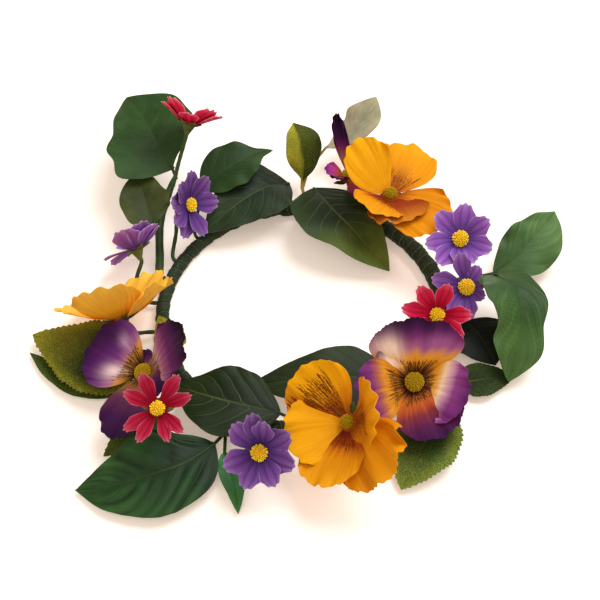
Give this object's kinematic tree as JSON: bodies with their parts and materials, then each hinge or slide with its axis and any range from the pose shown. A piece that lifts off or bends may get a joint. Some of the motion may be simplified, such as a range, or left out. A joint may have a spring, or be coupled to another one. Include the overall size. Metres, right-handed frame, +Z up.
{
  "type": "flower crown",
  "caption": "Flower crown: a taped wire hoop carrying artificial pansies, daisies and leaves on bendable wired stems.",
  "frame": {"origin": "on the plane the crown lies on, under the middle of its outline", "axes": "+Z up out of the plane the hoop lies in, +X to the wearer's side across the longest extent, +Y towards the tall sprig at the back"},
  "size_m": [0.3361, 0.311, 0.079],
  "materials": {
    "wire": "satin green enamel",
    "tape": "waxed crepe tape, matt",
    "stem": "moulded stem, matt",
    "dark_leaf": "coated polyester leaf, satin",
    "olive_leaf": "coated polyester leaf, matt",
    "yellow_petal": "dyed satin weave",
    "purple_petal": "dyed satin weave, printed",
    "violet_petal": "dyed satin weave",
    "pink_petal": "dyed satin weave",
    "yellow_centre": "moulded stamens",
    "olive_centre": "flocked"
  },
  "bodies": {
    "hoop": {"hoop_wire": "wire", "tape_wrap_thick": "tape", "tape_wrap_thin": "tape", "back_left_leaf": "dark_leaf", "right_under_leaf": "dark_leaf", "right_front_leaves": "olive_leaf", "inner_front_leaf": "dark_leaf", "front_veined_leaf": "dark_leaf", "left_leaves": "olive_leaf", "left_small_leaf": "olive_leaf", "left_inner_leaf": "olive_leaf", "purple_pansy_left_petals": "purple_petal", "purple_pansy_left_centre": "olive_centre", "purple_pansy_left_stem": "stem", "purple_pansy_back_petals": "purple_petal", "purple_pansy_back_centre": "olive_centre", "purple_pansy_back_stem": "stem", "violet_daisy_upper_petals": "violet_petal", "violet_daisy_upper_centre": "yellow_centre", "violet_daisy_upper_stem": "stem", "violet_daisy_lower_petals": "violet_petal", "violet_daisy_lower_centre": "yellow_centre", "violet_daisy_lower_stem": "stem", "pink_daisy_right_stem": "stem"},
    "tall_sprig": {"tall_sprig": "dark_leaf", "pink_daisy_tall_stem": "stem"},
    "violet_daisy_sprig": {"violet_daisy_sprig_stem": "stem", "violet_daisy_sprig_petals": "violet_petal", "violet_daisy_sprig_centre": "yellow_centre"},
    "violet_daisy_low": {"violet_daisy_low_stem": "stem", "violet_daisy_low_petals": "violet_petal", "violet_daisy_low_centre": "yellow_centre"},
    "sprig_side_leaf": {"sprig_side_leaf": "dark_leaf"},
    "back_spray": {"back_spray": "olive_leaf"},
    "inner_back_leaf": {"inner_back_leaf": "dark_leaf"},
    "right_outer_leaf": {"right_outer_leaf": "dark_leaf"},
    "right_bent_leaf": {"right_bent_leaf": "dark_leaf"},
    "front_left_leaves": {"front_left_leaves": "dark_leaf"},
    "violet_daisy_front": {"violet_daisy_front_stem": "stem"},
    "pink_daisy_left": {"pink_daisy_left_stem": "stem"},
    "yellow_pansy_left": {"yellow_pansy_left_stem": "stem", "yellow_pansy_left_petals": "yellow_petal", "yellow_pansy_left_centre": "olive_centre"},
    "yellow_pansy_back": {"yellow_pansy_back_stem": "stem", "yellow_pansy_back_petals": "yellow_petal", "yellow_pansy_back_centre": "olive_centre"},
    "purple_pansy_right": {"purple_pansy_right_stem": "stem", "purple_pansy_right_petals": "purple_petal", "purple_pansy_right_centre": "olive_centre"},
    "yellow_pansy_front": {"yellow_pansy_front_stem": "stem", "yellow_pansy_front_petals": "yellow_petal", "yellow_pansy_front_centre": "olive_centre"},
    "pink_daisy_tall_head": {"pink_daisy_tall_petals": "pink_petal", "pink_daisy_tall_centre": "yellow_centre"},
    "pink_daisy_left_head": {"pink_daisy_left_petals": "pink_petal", "pink_daisy_left_centre": "yellow_centre"},
    "violet_daisy_front_head": {"violet_daisy_front_petals": "violet_petal", "violet_daisy_front_centre": "yellow_centre"},
    "pink_daisy_right_head": {"pink_daisy_right_petals": "pink_petal", "pink_daisy_right_centre": "yellow_centre"}
  },
  "joints": [
    {"name": "tall_sprig_bend", "type": "hinge", "parent": "hoop", "child": "tall_sprig", "pos_m": [-0.08781, 0.01487, 0.00784], "axis": [0.9988, 0.0499, 0], "range_deg": [-3, 12]},
    {"name": "violet_daisy_sprig_bend", "type": "hinge", "parent": "hoop", "child": "violet_daisy_sprig", "pos_m": [-0.08137, 0.03121, 0.00832], "axis": [0.9701, -0.2425, 0], "range_deg": [0, 15]},
    {"name": "violet_daisy_low_bend", "type": "hinge", "parent": "hoop", "child": "violet_daisy_low", "pos_m": [-0.0918, -0.00085, 0.0044], "axis": [0, 1, 0], "range_deg": [-12, 4]},
    {"name": "sprig_side_leaf_bend", "type": "hinge", "parent": "hoop", "child": "sprig_side_leaf", "pos_m": [-0.06857, 0.0513, 0.00832], "axis": [0.9138, -0.4061, 0], "range_deg": [0, 18]},
    {"name": "back_spray_bend", "type": "hinge", "parent": "hoop", "child": "back_spray", "pos_m": [0.00134, 0.08692, 0.00632], "axis": [0.9806, -0.1961, 0], "range_deg": [-12, 3]},
    {"name": "inner_back_leaf_bend", "type": "hinge", "parent": "hoop", "child": "inner_back_leaf", "pos_m": [0.01406, 0.08316, 0.00857], "axis": [-0.8619, -0.507, 0], "range_deg": [-4, 8]},
    {"name": "right_outer_leaf_bend", "type": "hinge", "parent": "hoop", "child": "right_outer_leaf", "pos_m": [0.09293, 0.01718, 0.0044], "axis": [0.4472, -0.8944, 0], "range_deg": [0, 30]},
    {"name": "right_bent_leaf_bend", "type": "hinge", "parent": "hoop", "child": "right_bent_leaf", "pos_m": [0.095, 0.00747, 0.0044], "axis": [-0.1961, -0.9806, 0], "range_deg": [0, 7]},
    {"name": "front_left_leaves_swing", "type": "hinge", "parent": "hoop", "child": "front_left_leaves", "pos_m": [-0.04105, -0.09055, 0.0044], "axis": [0, 0, 1], "range_deg": [0, 20]},
    {"name": "violet_daisy_front_bend", "type": "hinge", "parent": "hoop", "child": "violet_daisy_front", "pos_m": [-0.02433, -0.09688, 0.0059], "axis": [-1, 0, 0], "range_deg": [-8, 20]},
    {"name": "pink_daisy_left_bend", "type": "hinge", "parent": "hoop", "child": "pink_daisy_left", "pos_m": [-0.06695, -0.07104, 0.0044], "axis": [-0.9578, 0.2873, 0], "range_deg": [-8, 15]},
    {"name": "yellow_pansy_left_bend", "type": "hinge", "parent": "hoop", "child": "yellow_pansy_left", "pos_m": [-0.09018, -0.02515, 0.00553], "axis": [0, 1, 0], "range_deg": [0, 15]},
    {"name": "yellow_pansy_back_bend", "type": "hinge", "parent": "hoop", "child": "yellow_pansy_back", "pos_m": [0.05613, 0.06277, 0.00898], "axis": [0.8, -0.6, 0], "range_deg": [-10, 15]},
    {"name": "purple_pansy_right_bend", "type": "hinge", "parent": "hoop", "child": "purple_pansy_right", "pos_m": [0.06316, -0.07138, 0.00898], "axis": [-0.7071, -0.7071, 0], "range_deg": [-5, 10]},
    {"name": "yellow_pansy_front_bend", "type": "hinge", "parent": "hoop", "child": "yellow_pansy_front", "pos_m": [0.02693, -0.09659, 0.00661], "axis": [-0.9578, -0.2873, 0], "range_deg": [-5, 10]},
    {"name": "pink_daisy_tall_turn", "type": "hinge", "parent": "tall_sprig", "child": "pink_daisy_tall_head", "pos_m": [-0.07366, 0.10764, 0.058], "axis": [0.2397, 0.7392, 0.6293], "continuous": true},
    {"name": "pink_daisy_left_turn", "type": "hinge", "parent": "pink_daisy_left", "child": "pink_daisy_left_head", "pos_m": [-0.08066, -0.10636, 0.042], "axis": [0.0499, -0.5993, 0.799], "continuous": true},
    {"name": "violet_daisy_front_turn", "type": "hinge", "parent": "violet_daisy_front", "child": "violet_daisy_front_head", "pos_m": [-0.02366, -0.12536, 0.026], "axis": [-0.1003, -0.6516, 0.7519], "continuous": true},
    {"name": "pink_daisy_right_turn", "type": "hinge", "parent": "hoop", "child": "pink_daisy_right_head", "pos_m": [0.08234, -0.02736, 0.026], "axis": [-0.0497, -0.7062, 0.7062], "continuous": true}
  ]
}
